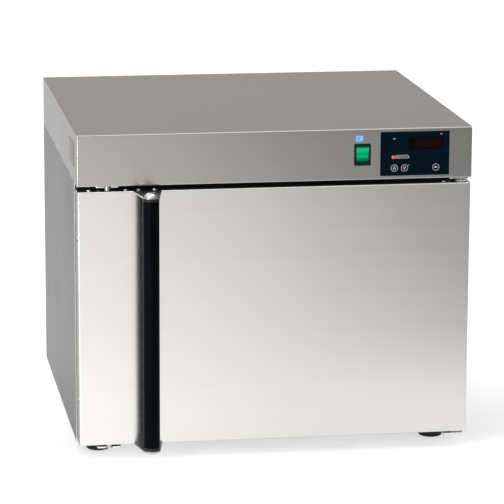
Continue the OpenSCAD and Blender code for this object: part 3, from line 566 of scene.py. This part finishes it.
def display():
    """Unlit segments of four digits on a faint strip of the dark window."""
    low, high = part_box("display_window")
    z = middle("display_window").z
    width, height, margin = 42 * MM, 15 * MM, 2 * MM
    strip = Print(low.y, thickness=0.02 * MM)
    strip.bar(high.x - margin - width / 2, z, width, height)
    strip.finish("display_strip", "digit_strip", "cabinet")
    # the segments start inside the strip and stand a little proud of it
    digits = Print(low.y - 0.01 * MM, thickness=0.03 * MM)
    for i in range(4):
        digit(digits, high.x - (38 - 10 * i) * MM, z)
    digits.finish("display_segments", "segment", "cabinet")


def label_sign():
    """Border and power sign on the pale blue plate above the switch."""
    low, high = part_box("switch_label")
    margin = 0.5 * MM
    left, right = low.x + margin, high.x - margin
    bottom, top = low.z + margin, high.z - margin
    x, z = middle("switch_label").x - 1.6 * MM, middle("switch_label").z
    sign = Print(low.y)
    sign.stroke([(left, bottom), (right, bottom), (right, top), (left, top),
                 (left, bottom)], 0.5 * MM)
    sign.arc(x, z, 2.4 * MM, 0.7 * MM, 125, 415, sides=30)
    sign.bar(x, z + 1.6 * MM, 0.7 * MM, 2.4 * MM)
    sign.finish("label_sign", "ink_blue", "cabinet")


def rating_rules():
    """Plain ruled lines on the rating plate, which looks towards -X."""
    low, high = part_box("rating_plate")
    margin, line, rows = 3 * MM, 0.4 * MM, 6
    mesh = bmesh.new()

    def rule(y0, z0, y1, z1):
        for v in bmesh.ops.create_cube(mesh, size=1.0)["verts"]:
            v.co.x = low.x - (0.5 - v.co.x) * INK
            v.co.y = y0 if v.co.y < 0 else y1
            v.co.z = z0 if v.co.z < 0 else z1

    y0, y1 = low.y + margin, high.y - margin
    z0, z1 = low.z + margin, high.z - margin
    for i in range(rows):
        z = z0 + i * (z1 - z0 - line) / (rows - 1)
        rule(y0, z, y1, z + line)
    for y in (y0, y0 + (y1 - y0) * 0.38, y1 - line):
        rule(y, z0, y + line, z1)
    made = object_from(mesh, "rating_rules", looks["ink_grey"])
    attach(made, "cabinet")


key_prints("key_up", "up_key", triangle_sign, 1)
key_prints("key_down", "down_key", triangle_sign, -1)
key_prints("key_set", "set_key", arrow_sign)
panel_marks()
thermometer()
display()
label_sign()
rating_rules()


# ------------------------------------------------------------------ stage and light

def floor_material():
    """Pale glowing table around the object, with painted light in its colour and glow: a
    bright pool close in front on the left, dimmer to the right and beside the object's
    front, and grey further out in front.
    """
    shader = Shader("floor")
    place = shader.parts("Object")
    depth = shader.sum(place["Y"], shader.spread(shader.noise(30), -0.01, 0.01))
    # painted light: brighter to the left, dimmer to the right, bright pool close in front
    far_tone = shader.slope(place["X"], -0.3, 1.0, 0.87, 0.24)
    near_light_pool = shader.slope(place["X"], -0.35, 0.10, 1.02, 0.84)
    # painted light beside the object: dimmer near its front, brighter behind
    side_tone = shader.slope(place["Y"], -0.25, 0.45, 0.66, 0.86)
    front_tone = shader.blend(shader.slope(depth, -1.00, -0.58, 0, 1), far_tone, near_light_pool)
    floor_painted_light = shader.blend(shader.slope(depth, -0.30, -0.15, 0, 1), front_tone, side_tone)
    # most of the light is the table's own glow, so that the shadow stays faint
    for socket, share in (("Base Color", 0.45), ("Emission Color", 0.90)):
        grey = shader.node("ShaderNodeCombineXYZ")
        for part in grey.inputs:
            shader.link(floor_painted_light, part)
        dimmed = shader.node("ShaderNodeVectorMath", operation="SCALE")
        dimmed.inputs["Scale"].default_value = share
        shader.link(grey.outputs["Vector"], dimmed.inputs[0])
        shader.link(dimmed.outputs["Vector"], shader.surface.inputs[socket])
    shader.set(Emission_Strength=1.0, Roughness=0.8, Specular_IOR_Level=0.0)
    return shader.material


floor_mesh = bmesh.new()
bmesh.ops.create_grid(floor_mesh, x_segments=1, y_segments=1, size=30)
floor = object_from(floor_mesh, "floor", floor_material())


def soft_light(name, place, target, size, power):
    """Rectangular soft box of the given power in watts, aimed at a point."""
    data = bpy.data.lights.new(name, "AREA")
    data.shape = "RECTANGLE"
    data.size, data.size_y = size
    data.energy = power
    lamp = bpy.data.objects.new(name, data)
    bpy.context.scene.collection.objects.link(lamp)
    lamp.location = place
    lamp.rotation_mode = "QUATERNION"
    lamp.rotation_quaternion = (Vector(target) - Vector(place)).to_track_quat("-Z", "Y")
    lamp.visible_camera = False


soft_light("key", (-1.1, -1.4, 1.9), (-0.3, -0.6, 0.0), (1.4, 1.0), 28)
soft_light("overhead", (0.3, -0.5, 2.4), (0.1, -0.1, 0.4), (1.8, 1.0), 12)
# upright strip for the highlight along the grip
soft_light("strip", (-1.14, -1.47, 0.25), middle("handle_tube"), (0.15, 1.2), 10)


def studio():
    """Light from all round: stronger overhead, behind and to the left, warm behind."""
    world = bpy.data.worlds.new("studio")
    world.use_nodes = True
    sky = Nodes(world.node_tree)
    background = sky.tree.nodes["Background"]
    direction = sky.parts("Generated")
    across = sky.slope(direction["X"], -1.0, 1.0, 1.15, 0.55)
    above = sky.slope(direction["Z"], 0.25, 0.7, 0.0, 0.15)
    behind = sky.slope(direction["Y"], 0.3, 1.0, 0.0, 0.40)
    sky.link(sky.sum(sky.sum(across, above), behind), background.inputs["Strength"])

    warmth = sky.node("ShaderNodeMix", data_type="RGBA")
    warmth.inputs["A"].default_value = (1.0, 0.995, 0.99, 1)
    warmth.inputs["B"].default_value = (1.0, 0.945, 0.90, 1)
    sky.link(sky.slope(direction["Y"], 0.0, 1.0, 0.0, 1.0), warmth.inputs["Factor"])
    sky.link(warmth.outputs["Result"], background.inputs["Color"])
    bpy.context.scene.world = world


studio()

# ------------------------------------------------------------------ camera

AZIMUTH, ELEVATION, ROLL = (math.radians(a) for a in (9.070, 12.358, 0.237))
camera_data = bpy.data.cameras.new("camera")
camera_data.sensor_width = 36
camera_data.lens = 205.56
camera = bpy.data.objects.new("camera", camera_data)
bpy.context.scene.collection.objects.link(camera)
camera.location = (-0.7031, -4.4316, 1.2479)
ahead = Vector((math.sin(AZIMUTH) * math.cos(ELEVATION),
                math.cos(AZIMUTH) * math.cos(ELEVATION), -math.sin(ELEVATION)))
camera.rotation_mode = "QUATERNION"
camera.rotation_quaternion = ahead.to_track_quat("-Z", "Y")
camera.rotation_quaternion @= Quaternion((0, 0, 1), ROLL)
bpy.context.scene.camera = camera
bpy.context.scene.view_settings.view_transform = "Standard"
